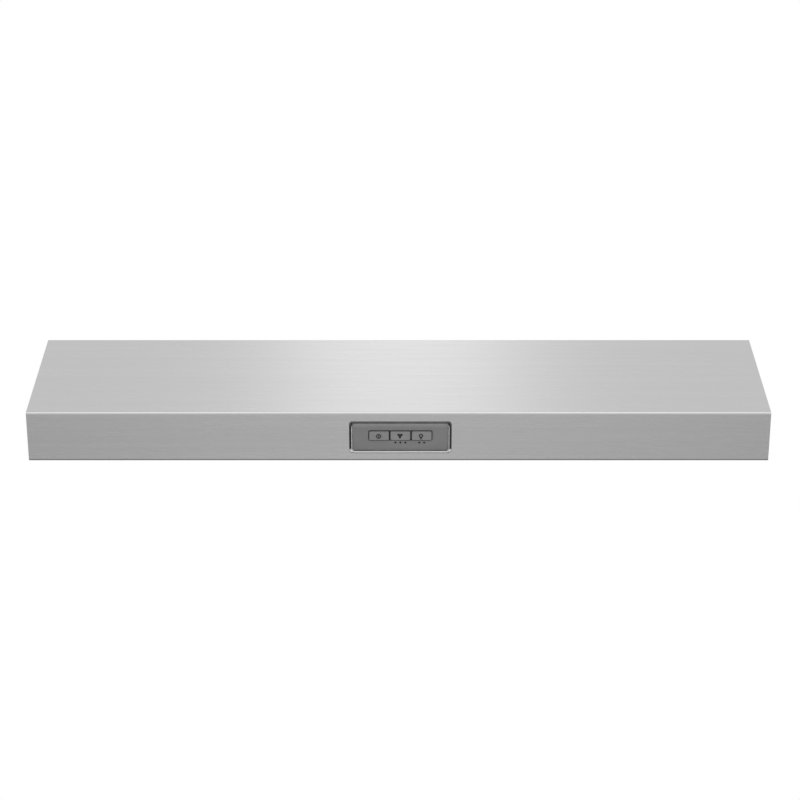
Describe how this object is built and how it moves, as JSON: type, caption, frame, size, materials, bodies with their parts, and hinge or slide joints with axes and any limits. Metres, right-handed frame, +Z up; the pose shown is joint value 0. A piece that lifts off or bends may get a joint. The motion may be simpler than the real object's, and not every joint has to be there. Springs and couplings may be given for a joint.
{
  "type": "under cabinet range hood",
  "caption": "Under-cabinet range hood: folded steel canopy with sloped visor, push-button panel, drop-down grease filters, lamps, radial blower and rear duct collar with damper.",
  "frame": {"origin": "centre of the flat top face that lies against the cabinet", "axes": "+X to the right as seen from the front, +Y towards the wall, +Z up"},
  "size_m": [0.76, 0.5433, 0.127],
  "materials": {
    "trim_steel": "satin steel frame",
    "clip_nylon": "nylon saddle",
    "stainless": "horizontally brushed stainless sheet",
    "pan_steel": "brushed stainless sheet",
    "galvanised": "galvanised sheet",
    "filter_frame": "mill-finish channel",
    "filter_mesh": "expanded metal",
    "latch_steel": "spring steel",
    "zinc_screw": "zinc plated",
    "lamp_can": "spun",
    "lamp_trim": "satin ring",
    "lens_glass": "frosted",
    "lamp_board": "white board with light chips",
    "panel_grey": "satin dark grey",
    "button_grey": "satin dark grey",
    "light_pipe": "smoked, unlit",
    "circuit_board": "green board",
    "switch_black": "black moulding",
    "wheel_metal": "pressed sheet",
    "shaft_steel": "ground steel",
    "motor_paint": "black paint",
    "flap_metal": "thin sheet",
    "capacitor_case": "white case",
    "lead_sheath": "black sheath"
  },
  "bodies": {
    "hood": {"canopy_shell": "stainless", "left_end_panel": "stainless", "right_end_panel": "stainless", "under_pan": "pan_steel", "back_panel": "galvanised", "blower_scroll": "galvanised", "inlet_plate": "galvanised", "blower_rail_front": "galvanised", "blower_rail_rear": "galvanised", "duct_collar": "galvanised", "wiring_box": "galvanised", "wiring_cover": "galvanised", "capacitor_strap": "galvanised", "pan_screws": "zinc_screw", "blower_screws": "zinc_screw", "motor_screws": "zinc_screw", "collar_screws": "zinc_screw", "wiring_screws": "zinc_screw", "control_screws": "zinc_screw", "left_lamp_can": "lamp_can", "right_lamp_can": "lamp_can", "left_lamp_bezel": "lamp_trim", "right_lamp_bezel": "lamp_trim", "left_lamp_lens": "lens_glass", "right_lamp_lens": "lens_glass", "left_lamp_board": "lamp_board", "right_lamp_board": "lamp_board", "control_panel": "panel_grey", "indicator_pipes": "light_pipe", "control_board": "circuit_board", "power_board": "circuit_board", "tact_switches": "switch_black", "control_cover": "switch_black", "terminal_block": "switch_black", "power_housing": "switch_black", "damper_pin": "shaft_steel", "blower_motor": "motor_paint", "motor_capacitor": "capacitor_case", "wire_harness": "lead_sheath", "control_trim": "trim_steel", "lead_clips": "clip_nylon"},
    "blower_rotor": {"blower_wheel": "wheel_metal", "motor_shaft": "shaft_steel"},
    "damper": {"damper_flap": "flap_metal"},
    "left_filter": {"left_filter_frame": "filter_frame", "left_filter_mesh": "filter_mesh"},
    "right_filter": {"right_filter_frame": "filter_frame", "right_filter_mesh": "filter_mesh"},
    "left_latch": {"left_filter_latch": "latch_steel"},
    "right_latch": {"right_filter_latch": "latch_steel"},
    "power_key": {"power_button": "button_grey"},
    "fan_key": {"fan_button": "button_grey"},
    "light_key": {"light_button": "button_grey"}
  },
  "joints": [
    {"name": "blower_spin", "type": "hinge", "parent": "hood", "child": "blower_rotor", "pos_m": [-0.055, 0, -0.062], "axis": [0, 0, 1], "continuous": true},
    {"name": "damper_swing", "type": "hinge", "parent": "hood", "child": "damper", "pos_m": [0, 0.1819, -0.0195], "axis": [1, 0, 0], "range_deg": [0, 80]},
    {"name": "left_filter_drop", "type": "hinge", "parent": "hood", "child": "left_filter", "pos_m": [0, 0.1358, -0.115], "axis": [1, 0, 0], "range_deg": [0, 60]},
    {"name": "left_latch_slide", "type": "slide", "parent": "left_filter", "child": "left_latch", "axis": [0, 1, 0], "range_m": [0, 0.008], "stiffness_N_per_m": 150},
    {"name": "right_filter_drop", "type": "hinge", "parent": "hood", "child": "right_filter", "pos_m": [0, 0.1358, -0.115], "axis": [1, 0, 0], "range_deg": [0, 60]},
    {"name": "right_latch_slide", "type": "slide", "parent": "right_filter", "child": "right_latch", "axis": [0, 1, 0], "range_m": [0, 0.008], "stiffness_N_per_m": 150},
    {"name": "power_press", "type": "slide", "parent": "hood", "child": "power_key", "axis": [0, 0.9191, 0.3939], "range_m": [0, 0.001], "stiffness_N_per_m": 900},
    {"name": "fan_press", "type": "slide", "parent": "hood", "child": "fan_key", "axis": [0, 0.9191, 0.3939], "range_m": [0, 0.001], "stiffness_N_per_m": 900},
    {"name": "light_press", "type": "slide", "parent": "hood", "child": "light_key", "axis": [0, 0.9191, 0.3939], "range_m": [0, 0.001], "stiffness_N_per_m": 900}
  ]
}
